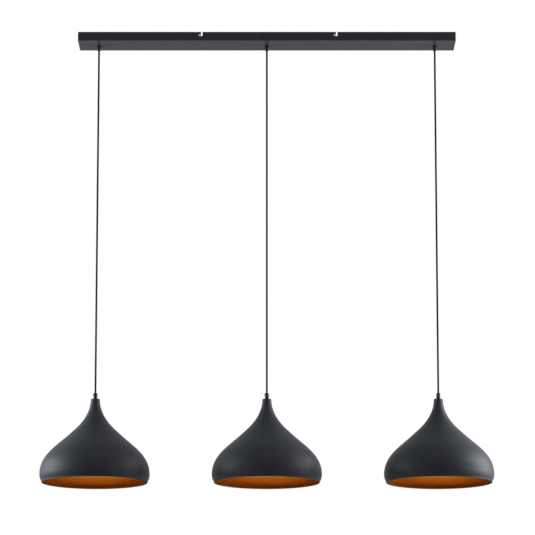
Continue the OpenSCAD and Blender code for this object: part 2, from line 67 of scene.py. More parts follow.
# The cords: free length, the stretch beyond the upper end of a shade grip, and the pivot in a canopy grip
CORD_L = 1.03
CORD_END_L = 0.006
MOUTH_Z = -CANOPY_H - GRIP_L
PIVOT_Z = MOUTH_Z - 0.0001 - CORD_R
SHADE_TOP = MOUTH_Z - CORD_L - GRIP_L
CORD_END_TOP = SHADE_TOP + GRIP_L + CORD_END_L

# The shades: height, widest and rim radius, neck, lip, wall and the hole for the nipple
SHADE_H = 0.245
SHADE_R = 0.16
RIM_R = 0.154
NECK_R = 0.01325
LIP_H = 0.024
RIM_EDGE = 0.002
WALL = 0.0012
HOLE_R = 0.0051

# Heights against a shade's top, below it where negative: nipple, lamp holder and bulb
NIPPLE_TOP = 0.00795
NIPPLE_END = -0.038
HOLDER_TOP = -0.030
DOME_END = -0.046
CAP_END = -0.054
SHELL_END = -0.086
INSERT_TOP = -0.049
INSERT_END = -0.061
BULB_TOP = INSERT_END - 0.0002
BULB_CAP_END = BULB_TOP - 0.025
BULB_END = BULB_TOP - 0.108

# The lamp holder's outside and inside, its brass shell and the bulb in it, with the E27 thread's pitch
HOLDER_R = 0.019
HOLDER_IN_R = 0.017
CONTACT_R = 0.0139
CONTACT_IN_R = 0.0135
CONTACT_HOLE_R = 0.006
BULB_CAP_R = 0.01305
BULB_CAP_IN_R = 0.01255
BULB_R = 0.030
E27_PITCH = 0.003629
FIT = 0.00005


# Node groups and materials

def socket(group, name, kind, inside=True, value=None):
    """Adds an input or output to a node group."""
    s = group.interface.new_socket(
        name=name, in_out="INPUT" if inside else "OUTPUT", socket_type=kind
    )
    if value is not None:
        s.default_value = value
    return s


def feed(tree, target, value):
    """Sets an input to a value, or links it to the socket that feeds it."""
    if isinstance(value, bpy.types.NodeSocket):
        tree.links.new(value, target)
    elif isinstance(value, tuple) and len(value) == 3 and target.type == "RGBA":
        target.default_value = (*value, 1)
    else:
        target.default_value = value


def noise(tree, vector, scale, detail=3.0, roughness=0.5):
    """A noise from 0 to 1."""
    n = tree.nodes.new("ShaderNodeTexNoise")
    tree.links.new(vector, n.inputs["Vector"])
    feed(tree, n.inputs["Scale"], scale)
    n.inputs["Detail"].default_value = detail
    n.inputs["Roughness"].default_value = roughness
    return n.outputs["Fac"]


def math_of(tree, operation, a, b):
    """One operation on two values or sockets."""
    n = tree.nodes.new("ShaderNodeMath")
    n.operation = operation
    feed(tree, n.inputs[0], a)
    feed(tree, n.inputs[1], b)
    return n.outputs[0]


def spread(tree, value, low, high):
    """Maps 0.3 to 0.7 of a noise onto low to high."""
    n = tree.nodes.new("ShaderNodeMapRange")
    feed(tree, n.inputs["Value"], value)
    n.inputs["From Min"].default_value = 0.3
    n.inputs["From Max"].default_value = 0.7
    feed(tree, n.inputs["To Min"], low)
    feed(tree, n.inputs["To Max"], high)
    return n.outputs["Result"]


def blend_colour(tree, share, a, b):
    """Goes from colour a to colour b as the share goes from 0 to 1."""
    n = tree.nodes.new("ShaderNodeMix")
    n.data_type = "RGBA"
    feed(tree, n.inputs["Factor"], share)
    feed(tree, n.inputs["A"], a)
    feed(tree, n.inputs["B"], b)
    return n.outputs["Result"]


def bumped(tree, height, strength, distance):
    """The surface's normal, tilted by a height."""
    n = tree.nodes.new("ShaderNodeBump")
    feed(tree, n.inputs["Strength"], strength)
    feed(tree, n.inputs["Distance"], distance)
    tree.links.new(height, n.inputs["Height"])
    return n.outputs["Normal"]


def new_group(name, inputs):
    """A node group that turns a vector and its own values into colour, roughness and normal."""
    group = bpy.data.node_groups.new(name, "ShaderNodeTree")
    socket(group, "Vector", "NodeSocketVector")
    for label, kind, value in inputs:
        socket(group, label, kind, value=value)
    socket(group, "Colour", "NodeSocketColor", inside=False)
    socket(group, "Roughness", "NodeSocketFloat", inside=False)
    socket(group, "Normal", "NodeSocketVector", inside=False)
    return group, group.nodes.new("NodeGroupInput"), group.nodes.new("NodeGroupOutput")


def surface_group(name, coarse, fine, stretch=(1, 1, 1)):
    """Two noises, a coarse one for drifts in colour and gloss and a fine one for the skin's bumps."""
    group, start, end = new_group(
        name,
        [
            ("Light", "NodeSocketColor", (0.05, 0.05, 0.05, 1)),
            ("Dark", "NodeSocketColor", (0.03, 0.03, 0.03, 1)),
            ("Smoothest", "NodeSocketFloat", 0.4),
            ("Roughest", "NodeSocketFloat", 0.5),
            ("Bump", "NodeSocketFloat", 0.2),
            ("Depth", "NodeSocketFloat", 0.0001),
        ],
    )
    placed = group.nodes.new("ShaderNodeMapping")
    placed.inputs["Scale"].default_value = stretch
    group.links.new(start.outputs["Vector"], placed.inputs["Vector"])
    where = placed.outputs["Vector"]
    drift = noise(group, where, coarse, 4, 0.6)
    skin = noise(group, where, fine, 2, 0.5)
    slow = math_of(group, "MULTIPLY", drift, 0.6)
    quick = math_of(group, "MULTIPLY", skin, 0.4)
    both = math_of(group, "ADD", slow, quick)
    share = spread(group, both, 0.0, 1.0)
    group.links.new(
        blend_colour(group, share, start.outputs["Dark"], start.outputs["Light"]), end.inputs["Colour"]
    )
    group.links.new(
        spread(group, both, start.outputs["Smoothest"], start.outputs["Roughest"]), end.inputs["Roughness"]
    )
    group.links.new(
        bumped(group, skin, start.outputs["Bump"], start.outputs["Depth"]), end.inputs["Normal"]
    )
    return group


def material(name, group, light, dark, rough, bump=0.2, depth=0.0001, vector="Object", **shader):
    """A Principled shader fed by one surface group; fixed numbers go straight onto the shader."""
    m = bpy.data.materials.new(name)
    m.use_nodes = True
    tree = m.node_tree
    skin = tree.nodes.new("ShaderNodeGroup")
    skin.node_tree = group
    where = tree.nodes.new("ShaderNodeTexCoord")
    tree.links.new(where.outputs[vector], skin.inputs["Vector"])
    skin.inputs["Light"].default_value = (*light, 1)
    skin.inputs["Dark"].default_value = (*dark, 1)
    skin.inputs["Smoothest"].default_value, skin.inputs["Roughest"].default_value = rough
    skin.inputs["Bump"].default_value = bump
    skin.inputs["Depth"].default_value = depth
    principled = tree.nodes["Principled BSDF"]
    tree.links.new(skin.outputs["Colour"], principled.inputs["Base Color"])
    tree.links.new(skin.outputs["Roughness"], principled.inputs["Roughness"])
    tree.links.new(skin.outputs["Normal"], principled.inputs["Normal"])
    for label, value in shader.items():
        principled.inputs[label.replace("_", " ")].default_value = value
    return m


powder_skin = surface_group("powder_coat_skin", 14, 900)
matt_skin = surface_group("matt_lacquer_skin", 11, 1400)
spun_skin = surface_group("spun_gold_skin", 9, 260, (0.02, 6.0, 1))
plated_skin = surface_group("zinc_plating_skin", 60, 1500)
drawn_skin = surface_group("drawn_brass_skin", 80, 700, (1, 1, 6))
moulded_skin = surface_group("moulded_plastic_skin", 45, 1800)
sheath_skin = surface_group("cord_sheath_skin", 70, 1100, (1, 1, 0.25))

CANOPY_PAINT = material(
    "canopy_powder_coat", powder_skin, (0.0243, 0.0256, 0.0292), (0.0189, 0.0200, 0.0224), (0.17, 0.21),
    bump=0.1, depth=0.00006, Specular_IOR_Level=0.0055,
)
SHADE_PAINT = material(
    "shade_matt_charcoal", matt_skin, (0.0142, 0.0160, 0.0194), (0.0108, 0.0122, 0.0150), (0.48, 0.56),
    bump=0.06, depth=0.00004, Specular_IOR_Level=0.06,
)
SHADE_GOLD = material(
    "shade_inside_gold", spun_skin, (0.525, 0.207, 0.022), (0.44, 0.158, 0.0145), (0.36, 0.46),
    bump=0.12, depth=0.0001, vector="UV", Metallic=1.0,
)
ZINC = material(
    "zinc_plated_steel", plated_skin, (0.66, 0.67, 0.68), (0.54, 0.55, 0.56), (0.3, 0.42),
    bump=0.1, depth=0.00005, Metallic=1.0,
)
GALVANISED = material(
    "galvanised_bracket", plated_skin, (0.36, 0.37, 0.38), (0.26, 0.27, 0.28), (0.42, 0.56),
    bump=0.15, depth=0.00006, Metallic=1.0,
)
BRASS = material(
    "drawn_brass", drawn_skin, (0.82, 0.6, 0.27), (0.68, 0.47, 0.2), (0.22, 0.34),
    bump=0.08, depth=0.00005, Metallic=1.0,
)
BULB_ALLOY = material(
    "bulb_cap_alloy", drawn_skin, (0.8, 0.8, 0.8), (0.68, 0.68, 0.69), (0.2, 0.32),
    bump=0.08, depth=0.00005, Metallic=1.0,
)
NYLON = material(
    "black_nylon", moulded_skin, (0.010, 0.010, 0.011), (0.007, 0.007, 0.008), (0.42, 0.52),
    bump=0.2, depth=0.00005, Specular_IOR_Level=0.08,
)
HOLDER_BLACK = material(
    "lamp_holder_black", moulded_skin, (0.025, 0.025, 0.027), (0.018, 0.018, 0.02), (0.3, 0.4),
    bump=0.2, depth=0.00006,
)
BLACK_STEEL = material(
    "blackened_screw", plated_skin, (0.012, 0.012, 0.013), (0.008, 0.008, 0.009), (0.4, 0.5),
    bump=0.15, depth=0.00005, Specular_IOR_Level=0.08,
)
SHEATH = material(
    "black_cord_sheath", sheath_skin, (0.008, 0.008, 0.009), (0.006, 0.006, 0.007), (0.6, 0.7),
    bump=0.06, depth=0.00003, Specular_IOR_Level=0.04,
)
CERAMIC = material(
    "white_insert", moulded_skin, (0.86, 0.85, 0.82), (0.8, 0.79, 0.75), (0.3, 0.4), bump=0.1,
    depth=0.00005,
)
BLOCK_WHITE = material(
    "terminal_block_white", moulded_skin, (0.84, 0.84, 0.81), (0.78, 0.77, 0.73), (0.36, 0.48), bump=0.15,
    depth=0.00005,
)
EARTH_GREEN = material(
    "earth_lead_green", sheath_skin, (0.12, 0.36, 0.06), (0.09, 0.3, 0.045), (0.36, 0.48), bump=0.15,
    depth=0.00004, vector="UV",
)
CORE_BLUE = material(
    "core_blue", sheath_skin, (0.05, 0.16, 0.52), (0.035, 0.12, 0.42), (0.34, 0.46), bump=0.15,
    depth=0.00004,
)
CORE_BROWN = material(
    "core_brown", sheath_skin, (0.22, 0.1, 0.045), (0.17, 0.075, 0.03), (0.34, 0.46), bump=0.15,
    depth=0.00004,
)
OPAL = material(
    "opal_bulb_glass", moulded_skin, (0.9, 0.89, 0.86), (0.87, 0.86, 0.82), (0.14, 0.2), bump=0.04,
    depth=0.00004, Coat_Weight=0.4,
)


# Mesh making

def finish_mesh(name, points, faces, body, materials, uv, face_material=None):
    """Puts arrays of points and quads into a mesh, closes its seams and poles and lets it ride on a body."""
    mesh = bpy.data.meshes.new(name)
    mesh.vertices.add(len(points))
    mesh.vertices.foreach_set("co", np.asarray(points, np.float32).ravel())
    mesh.loops.add(faces.size)
    mesh.loops.foreach_set("vertex_index", faces.astype(np.int32).ravel())
    mesh.polygons.add(len(faces))
    mesh.polygons.foreach_set("loop_start", np.arange(0, faces.size, faces.shape[1], dtype=np.int32))
    for m in materials:
        mesh.materials.append(m)
    if face_material is not None:
        mesh.polygons.foreach_set("material_index", np.asarray(face_material, np.int32))
    mesh.uv_layers.new(name="surface").data.foreach_set("uv", np.asarray(uv, np.float32).ravel())
    mesh.polygons.foreach_set("use_smooth", np.full(len(faces), True))
    mesh.update(calc_edges=True)
    mesh.validate()
    b = bmesh.new()
    b.from_mesh(mesh)
    bmesh.ops.remove_doubles(b, verts=b.verts, dist=1e-7)
    bmesh.ops.recalc_face_normals(b, faces=b.faces)
    b.to_mesh(mesh)
    b.free()
    piece = bpy.data.objects.new(name, mesh)
    scene.collection.objects.link(piece)
    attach(piece, body)
    return piece


def grid_quads(rows, columns, rows_close=False):
    """Quads of a grid whose columns close on themselves, with the row and column of each corner."""
    r = np.arange(rows if rows_close else rows - 1)
    c = np.arange(columns)
    r, c = (a.ravel() for a in np.meshgrid(r, c, indexing="ij"))
    corner_rows = np.stack([r, r + 1, r + 1, r], 1)
    corner_columns = np.stack([c, c, c + 1, c + 1], 1)
    return (corner_rows % rows) * columns + corner_columns % columns, corner_rows, corner_columns


def rounded(points, radii, steps=5):
    """An open line of corners, each inner one rounded to an arc that touches both its sides."""
    points = [np.array(p, float) for p in points]
    out = [points[0]]
    for i in range(1, len(points) - 1):
        radius = radii[i]
        a, b, c = points[i - 1], points[i], points[i + 1]
        u, v = (a - b) / np.linalg.norm(a - b), (c - b) / np.linalg.norm(c - b)
        half = math.acos(float(np.clip(u @ v, -1, 1))) / 2
        if radius <= 0 or half > 1.55:
            out.append(b)
            continue
        reach = min(radius / math.tan(half), 0.49 * np.linalg.norm(a - b), 0.49 * np.linalg.norm(c - b))
        radius = reach * math.tan(half)
        centre = b + (u + v) / np.linalg.norm(u + v) * radius / math.sin(half)
        start, stop = b + u * reach - centre, b + v * reach - centre
        turn = math.atan2(start[0] * stop[1] - start[1] * stop[0], float(start @ stop))
        for t in np.linspace(0, turn, steps):
            c, s = math.cos(t), math.sin(t)
            out.append(centre + [start[0] * c - start[1] * s, start[0] * s + start[1] * c])
    out.append(points[-1])
    return np.array(out)


def bezier(a, b, c, d, steps):
    """A cubic curve from a to d that leaves towards b and arrives from c.

    Each point is the sum of the four, weighted by the cubic Bernstein polynomials of t from 0 to 1.
    """
    t = np.linspace(0, 1, steps + 1)[:, None]
    a, b, c, d = (np.array(p, float) for p in (a, b, c, d))
    return (1 - t) ** 3 * a + 3 * (1 - t) ** 2 * t * b + 3 * (1 - t) * t ** 2 * c + t ** 3 * d


def turned(
    name, profile, x, z, body, materials, columns=64, closed=False, relief=None, part=None, y=0.0
):
    """Turns a profile of radius and height about the upright line at x and y.

    Each row of the grid is a ring at one profile point: radius times the cosine and sine of the turn, at
    that point's height. relief(angle, height, radius) may add to the radius. The UV runs round the ring
    and along the profile's length in metres.
    """
    angle = np.arange(columns) / columns * TAU
    radius = profile[:, 0][:, None] + np.zeros(columns)
    height = profile[:, 1][:, None] + np.zeros(columns)
    if relief is not None:
        radius = radius + relief(angle[None, :], height, radius)
    points = np.stack([x + radius * np.cos(angle), y + radius * np.sin(angle), z + height], -1).reshape(-1, 3)
    faces, rows, around = grid_quads(len(profile), columns, closed)
    ring = np.vstack([profile, profile[:1]])
    along = np.concatenate([[0], np.cumsum(np.linalg.norm(np.diff(ring, axis=0), axis=1))])
    uv = np.stack([around / columns, along[rows]], -1)
    kind = None if part is None else np.asarray(part)[rows[:, 0] % len(profile)]
    return finish_mesh(name, points, faces, body, materials, uv, kind)


def smooth_route(route, step=0.003):
    """A smooth curve through the route's points, cut in equal steps.

    Between two points it is the cubic of Catmull and Rom: at each point the tangent is half the chord
    between its two neighbours.
    """
    p = np.array(route, float)
    p = np.vstack([2 * p[0] - p[1], p, 2 * p[-1] - p[-2]])
    dense = []
    for i in range(1, len(p) - 2):
        count = max(2, int(np.linalg.norm(p[i + 1] - p[i]) / step * 3))
        t = np.linspace(0, 1, count, endpoint=False)[:, None]
        a, b, c, d = p[i - 1], p[i], p[i + 1], p[i + 2]
        square, cube = 2 * a - 5 * b + 4 * c - d, 3 * b - a - 3 * c + d
        dense.append(0.5 * (2 * b + (c - a) * t + square * t ** 2 + cube * t ** 3))
    line = np.vstack(dense + [p[-2:-1]])
    along = np.concatenate([[0], np.cumsum(np.linalg.norm(np.diff(line, axis=0), axis=1))])
    even = np.linspace(0, along[-1], max(3, int(along[-1] / step) + 1))
    return np.stack([np.interp(even, along, line[:, k]) for k in range(3)], 1)


def tube(name, line, radius, body, surface, sides=16, round_ends=(False, False)):
    """Carries a circle along a line, square to it, and closes its ends flat or as half balls.

    The UV runs round the circle and along the line in metres.
    """
    line = np.array(line, float)
    way = np.gradient(line, axis=0)
    way /= np.linalg.norm(way, axis=1)[:, None]
    side = np.cross([0, 1, 0], way)
    side /= np.linalg.norm(side, axis=1)[:, None]
    up = np.cross(way, side)
    centres, sizes, sides_at, ups_at = [], [], [], []
    lean = np.linspace(0, math.pi / 2, 7)
    for end in (0, 1):
        i = -end
        out = way[i] * (1 if end else -1)
        if round_ends[end]:
            cap = [(line[i] + out * radius * math.sin(a), radius * math.cos(a)) for a in lean[1:]]
        else:
            cap = [(line[i], radius * 0.97 ** 2), (line[i], 0)]
        if not end:
            cap = cap[::-1]
        for centre, size in cap:
            centres.append(centre)
            sizes.append(max(size, 0))
            sides_at.append(side[i])
            ups_at.append(up[i])
        if not end:
            for k in range(len(line)):
                centres.append(line[k])
                sizes.append(radius)
                sides_at.append(side[k])
                ups_at.append(up[k])
    angle = np.arange(sides) / sides * TAU
    across, upward = np.array(sides_at)[:, None, :], np.array(ups_at)[:, None, :]
    rim = np.cos(angle)[None, :, None] * across + np.sin(angle)[None, :, None] * upward
    points = np.array(centres)[:, None, :] + np.array(sizes)[:, None, None] * rim
    faces, rows, around = grid_quads(len(centres), sides)
    steps = np.linalg.norm(np.diff(np.array(centres), axis=0), axis=1)
    along = np.concatenate([[0], np.cumsum(steps)])
    uv = np.stack([around / sides, along[rows]], -1)
    return finish_mesh(name, points.reshape(-1, 3), faces, body, [surface], uv)


def eased(cad_node, body, surface, width, segments=2, flat=False):
    """A copy of a solid's mesh, merged, with its flat faces joined and its edges eased by a bevel.

    flat keeps folded sheet free of shading that bends between its holes.
    """
    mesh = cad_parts[cad_node].data.copy()
    mesh.name = cad_node + "_eased"
    b = bmesh.new()
    b.from_mesh(mesh)
    bmesh.ops.remove_doubles(b, verts=b.verts, dist=2e-6)
    bmesh.ops.dissolve_limit(b, angle_limit=math.radians(0.6), verts=b.verts, edges=b.edges)
    b.to_mesh(mesh)
    b.free()
    mesh.materials.clear()
    mesh.materials.append(surface)
    mesh.polygons.foreach_set("use_smooth", np.full(len(mesh.polygons), not flat))
    mesh.update()
    piece = bpy.data.objects.new(cad_node + "_eased", mesh)
    scene.collection.objects.link(piece)
    ease = piece.modifiers.new("eased_edges", "BEVEL")
    ease.width = width
    ease.segments = segments
    ease.limit_method = "ANGLE"
    ease.angle_limit = math.radians(28)
    ease.harden_normals = not flat
    ease.use_clamp_overlap = True
    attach(piece, body)
    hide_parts(cad_node)
    return piece


# Canopy and what it holds

eased("canopy_cover", "canopy", CANOPY_PAINT, 0.00045, 3, flat=True)
eased("ceiling_bracket", "canopy", GALVANISED, 0.0003, flat=True)
eased("terminal_block", "canopy", BLOCK_WHITE, 0.0005)
eased("terminal_screws", "canopy", ZINC, 0.00015)
eased("earth_stud", "canopy", BRASS, 0.0002)
eased("canopy_grip_nuts", "canopy", ZINC, 0.0003)
eased("canopy_grip_screws", "canopy", BLACK_STEEL, 0.0002)

GRIP_THREAD_L = 0.007
for side, x in SIDES.items():
    profile = rounded(
        [
            (BORE_R, GRIP_THREAD_L), (M10_R, GRIP_THREAD_L), (M10_R, 0.0), (GRIP_R, 0.0),
            (GRIP_R, -GRIP_L + GRIP_TAPER_L), (GRIP_TIP_R, -GRIP_L), (BORE_R, -GRIP_L),
            (BORE_R, GRIP_THREAD_L),
        ],
        [0, 0.0005, 0, 0.0003, 0.0016, 0.0006, 0.0003, 0],
    )
    grip = turned(
        f"grip_under_canopy_{side}", profile, x, -CANOPY_H, "canopy", [NYLON], 40
    )
    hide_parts(f"canopy_grip_{side}")

# The leads inside the canopy follow the same routes as their solids, in millimetres: a bend just above
# each grip, a drop to the floor, a lane along the wall and a rise to the terminal block's poles
MM = 0.001
LEAD_BEND = [(0, -17), (0.8, -13.2), (3, -9.6), (6.6, -7.2), (11, -6.4), (16, -7.4)]
LEAD_DROP = [(24, -11.5), (32, -17.2), (42, -21.2)]
LEAD_Z = FLOOR_Z / MM + 0.05 + 2.8
POLE_Z = -1.55 - 7.5
LANE = 14


def lead_route(x, toward, lane, ending):
    """One lead's line from its grip at x, towards the block, along its lane if it has one."""
    route = [(x, 0, PIVOT_Z / MM), (x, 0, PIVOT_Z / MM + 6), (x, 0, -28)]
    route += [(x + toward * d, 0, z) for d, z in LEAD_BEND]
    if lane is not None:
        route += [(x + toward * d, lane * (k + 1) / 6, z) for k, (d, z) in enumerate(LEAD_DROP)]
        route += [(x + toward * 56, lane * 0.75, LEAD_Z), (x + toward * 80, lane, LEAD_Z)]
    return smooth_route(np.array(route + ending) * MM, 0.004)


NEAR, FAR = 40 - 0.05, 57 + 0.05
routes = {
    "left": lead_route(-500, 1, -LANE, [
        (NEAR - 38, -14, LEAD_Z), (NEAR - 26, -13, LEAD_Z + 2), (NEAR - 14, -11, POLE_Z - 4),
        (NEAR - 4, -10, POLE_Z), (NEAR, -10, POLE_Z),
    ]),
    "middle": lead_route(0, 1, None, [
        (NEAR - 14, 0, POLE_Z + 0.6), (NEAR - 4, 0, POLE_Z), (NEAR, 0, POLE_Z),
    ]),
    "right": lead_route(500, -1, LANE, [
        (FAR + 40, 14, LEAD_Z), (FAR + 26, 13, LEAD_Z + 2), (FAR + 14, 11, POLE_Z - 4),
        (FAR + 4, 10, POLE_Z), (FAR, 10, POLE_Z),
    ]),
}
leads = [
    tube(f"lead_in_canopy_{side}", line, CORD_R, "canopy", SHEATH, 16, (True, False))
    for side, line in routes.items()
]
for lead in leads:
    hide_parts("canopy_leads")

# The earth lead, from its screw in the block to its ring tag on the canopy's floor
EARTH_X, EARTH_Y, EARTH_Z = 112, -18, FLOOR_Z / MM + 0.05 + 1.3
line = smooth_route(np.array([
    (57 - 4.6 + 1.7 + 0.05, -10, POLE_Z), (60, -10, POLE_Z), (67, -11, POLE_Z - 3), (75, -13, EARTH_Z + 5),
    (84, EARTH_Y + 3, EARTH_Z + 1), (EARTH_X - 16, EARTH_Y + 1, EARTH_Z), (EARTH_X - 8, EARTH_Y, EARTH_Z),
    (EARTH_X - 5.6, EARTH_Y, EARTH_Z),
]) * MM, 0.0012)
earth = tube("striped_earth_lead", line, 0.0013, "canopy", EARTH_GREEN, 16)
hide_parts("earth_lead")
line = [((EARTH_X - d) * MM, EARTH_Y * MM, EARTH_Z * MM) for d in (9.6, 8.2, 6.8, 5.4)]
sleeve = tube("earth_crimp_sleeve", line, 0.00134, "canopy", ZINC, 20)
profile = rounded(
    [(0.0035, 0.0008), (0.0021, 0.0008), (0.0021, 0.0), (0.005, 0.0), (0.005, 0.0008), (0.0035, 0.0008)],
    [0, 0.0002, 0.0002, 0.0002, 0.0002, 0], 4,
)
tag = turned(
    "earth_ring_tag", profile, EARTH_X * MM, FLOOR_Z + FIT, "canopy", [ZINC], 40,
    y=EARTH_Y * MM,
)
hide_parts("earth_lead")
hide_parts("earth_lead")


# The shades

def shade_outline():
    """Radius and depth of a shade's outside in three cubic curves that join smoothly, as in the solid.

    They run from the neck to a point on the flank, where the line leans out by 46 degrees, then to the
    widest place, where it is upright, and then to the rim.
    """
    lean = math.radians(46)
    flank, way = np.array([0.072, 0.102]), np.array([math.sin(lean), math.cos(lean)])
    belly, neck = np.array([SHADE_R, SHADE_H - LIP_H]), np.array([NECK_R, 0.0])
    rim = np.array([RIM_R, SHADE_H - RIM_EDGE])
    return np.vstack([
        bezier(neck, neck + [0, 0.056], flank - 0.015 * way, flank, 44)[:-1],
        bezier(flank, flank + 0.053 * way, belly - [0, 0.056], belly, 56)[:-1],
        bezier(belly, belly + [0, 0.013], rim + [0.0008, -0.004], rim, 18),
    ])


def shade_profile():
    """The wall's whole section as a closed ring: outside down to the mouth, round its edge and up inside.

    The inside lies one wall's thickness square to the outside, and the edge is a half circle.
    """
    outer = shade_outline()
    way = np.gradient(outer, axis=0)
    way /= np.linalg.norm(way, axis=1)[:, None]
    inner = outer + WALL * np.stack([-way[:, 1], way[:, 0]], 1)
    inner = inner[(inner[:, 1] > 2 * WALL) & (inner[:, 1] < SHADE_H - RIM_EDGE - 0.0006)]
    bevel = 0.0013
    turn = np.linspace(0.15, 1.45, 6)
    neck = np.vstack([
        [(HOLE_R, 0.0), (NECK_R - bevel - 0.0006, 0.0)],
        np.stack([NECK_R - bevel + bevel * np.sin(turn), bevel - bevel * np.cos(turn)], 1),
    ])
    outer = outer[outer[:, 1] > bevel]
    half = WALL / 2
    turn = np.linspace(0, math.pi, 9)
    edge = np.stack([RIM_R - half + half * np.cos(turn), SHADE_H - half + half * np.sin(turn)], 1)
    ring = np.vstack([neck, outer, edge, inner[::-1], [(NECK_R - WALL - 0.0004, WALL), (HOLE_R, WALL)]])
    part = np.zeros(len(ring), int)
    part[len(neck) + len(outer) + 6:] = 1
    return ring * [1, -1], part


SHADE_RING, SHADE_PART = shade_profile()


def paint_lip_shade(m, rim_at, reach):
    """Painted shade on the gold near the mouth: a near-black brown, strongest at the rim, gone at the reach,
    measured along the surface.
    """
    tree = m.node_tree
    principled = tree.nodes["Principled BSDF"]
    gold = principled.inputs["Base Color"].links[0].from_socket
    parts = tree.nodes.new("ShaderNodeSeparateXYZ")
    tree.links.new(tree.nodes.new("ShaderNodeTexCoord").outputs["UV"], parts.inputs[0])
    fade = tree.nodes.new("ShaderNodeMapRange")
    fade.interpolation_type = "SMOOTHSTEP"
    tree.links.new(parts.outputs["Y"], fade.inputs["Value"])
    limits = {"From Min": rim_at, "From Max": rim_at + reach, "To Min": 0.8, "To Max": 0.0}
    for label, value in limits.items():
        fade.inputs[label].default_value = value
    share = fade.outputs["Result"]
    # The painted shade: a near-black brown mixed over the gold, and the metal turned down by the same share
    tree.links.new(blend_colour(tree, share, gold, (0.02, 0.012, 0.008)), principled.inputs["Base Color"])
    tree.links.new(math_of(tree, "SUBTRACT", 1.0, share), principled.inputs["Metallic"])


def flutes(count, depth, low, high):
    """Upright hollows round a holder: a raised cosine round it, only between two heights."""
    def relief(angle, height, radius):
        inside = (height > low) & (height < high)
        return np.where(inside, -depth * (0.5 + 0.5 * np.cos(count * angle)) ** 2, 0.0)
    return relief


def thread(pitch, depth, low, high):
    """A thread's waves: a cosine of height over pitch less the turn, faded in and out at both ends."""
    def relief(angle, height, radius):
        fade = np.clip((height - low) / pitch, 0, 1) * np.clip((high - height) / pitch, 0, 1)
        return -depth * fade * (0.5 + 0.5 * np.cos(TAU * height / pitch - angle))
    return relief


ALONG = np.concatenate([[0], np.cumsum(np.linalg.norm(np.diff(SHADE_RING, axis=0), axis=1))])
# Painted shade on the gold inside each mouth, fading out 18 mm up from the rim
paint_lip_shade(SHADE_GOLD, float(ALONG[np.argmin(SHADE_RING[:, 1])]), 0.018)


def spun_shade(side, x):
    """The shade, charcoal outside and gold inside."""
    shade = turned(
        f"spun_shade_{side}", SHADE_RING, x, SHADE_TOP, f"shade_{side}",
        [SHADE_PAINT, SHADE_GOLD], 288, closed=True, part=SHADE_PART,
    )
    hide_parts(f"shade_{side}")


def grip_and_nipple(side, x):
    """The grip on the shade with its clamp screw and nut, and the nipple that goes down to the holder."""
    body = f"shade_{side}"
    seat_r, seat_l, step = M10_R + FIT, 0.008, 0.012
    profile = rounded(
        [
            (BORE_R, step), (BORE_R, GRIP_L), (GRIP_R - 0.001, GRIP_L), (GRIP_R, GRIP_L - 0.001),
            (GRIP_R, 0.0), (seat_r, 0.0), (seat_r, seat_l), (BORE_R, seat_l), (BORE_R, step),
        ],
        [0, 0.0003, 0.0006, 0.0006, 0.0003, 0.0002, 0, 0, 0],
    )
    grip = turned(f"grip_on_shade_{side}", profile, x, SHADE_TOP, body, [NYLON], 40)
    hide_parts(f"shade_grip_{side}")
    eased(f"shade_grip_screw_{side}", body, BLACK_STEEL, 0.0002)
    eased(f"shade_nut_{side}", body, ZINC, 0.0003)

    bore, rings = 0.0035, 190
    heights = np.linspace(NIPPLE_TOP, NIPPLE_END, rings)
    profile = np.vstack([
        [(bore, NIPPLE_TOP)], np.stack([np.full(rings, M10_R), heights], 1),
        [(bore, NIPPLE_END), (bore, NIPPLE_TOP)],
    ])
    waves = thread(M10_PITCH, 0.0004, NIPPLE_END, seat_l)
    nipple = turned(
        f"threaded_nipple_{side}", profile, x, SHADE_TOP, body, [ZINC], 32,
        relief=lambda a, h, r: np.where(r > 0.0045, waves(a, h, r), 0),
    )
    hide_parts(f"nipple_{side}")


def holder_cap_and_skirt(side, x):
    """The holder's two black shells: a cap with a quarter of an oval for its dome, and a fluted skirt."""
    body = f"shade_{side}"
    dome = [
        (0.009 + 0.010 * math.sin(a), DOME_END + (HOLDER_TOP - DOME_END) * math.cos(a))
        for a in np.linspace(0, math.pi / 2, 14)
    ]
    profile = np.vstack([
        [(HOLE_R, HOLDER_TOP)], dome,
        [(HOLDER_R, CAP_END + 0.0004), (HOLDER_R - 0.0003, CAP_END), (HOLDER_IN_R + 0.0001, CAP_END)],
        [(HOLDER_IN_R, DOME_END - 0.001), (0.0120, HOLDER_TOP - 0.0035), (0.0081, HOLDER_TOP - 0.002)],
        [(0.008, NIPPLE_END), (HOLE_R, NIPPLE_END), (HOLE_R, HOLDER_TOP)],
    ])
    cap = turned(f"holder_dome_{side}", profile, x, SHADE_TOP, body, [HOLDER_BLACK], 72)
    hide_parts(f"holder_cap_{side}")

    rings, sleeve_r, sleeve_in_r, step_r = 40, 0.01695, 0.01505, 0.0142
    outer_z = np.concatenate([
        [CAP_END - FIT], np.linspace(CAP_END - 0.0005, SHELL_END + 0.0008, rings), [SHELL_END],
    ])
    outer_r = np.concatenate([[HOLDER_R - 0.0003], np.full(rings, HOLDER_R), [HOLDER_R - 0.0005]])
    profile = np.vstack([
        [(sleeve_in_r, INSERT_TOP + 0.001), (sleeve_r, INSERT_TOP + 0.001), (sleeve_r, CAP_END - FIT)],
        np.stack([outer_r, outer_z], 1),
        [(0.0173, SHELL_END), (HOLDER_IN_R, SHELL_END + 0.0004), (HOLDER_IN_R, INSERT_END - 0.002)],
        [(step_r, INSERT_END - 0.002), (step_r, INSERT_END - FIT), (sleeve_in_r, INSERT_END - FIT)],
        [(sleeve_in_r, INSERT_TOP + 0.001)],
    ])
    hollows = flutes(30, 0.0007, SHELL_END + 0.004, CAP_END - 0.004)
    skirt = turned(
        f"holder_skirt_{side}", profile, x, SHADE_TOP, body, [HOLDER_BLACK], 240,
        relief=lambda a, h, r: np.where(r > 0.0178, hollows(a, h, r), 0),
    )
    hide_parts(f"holder_shell_{side}")


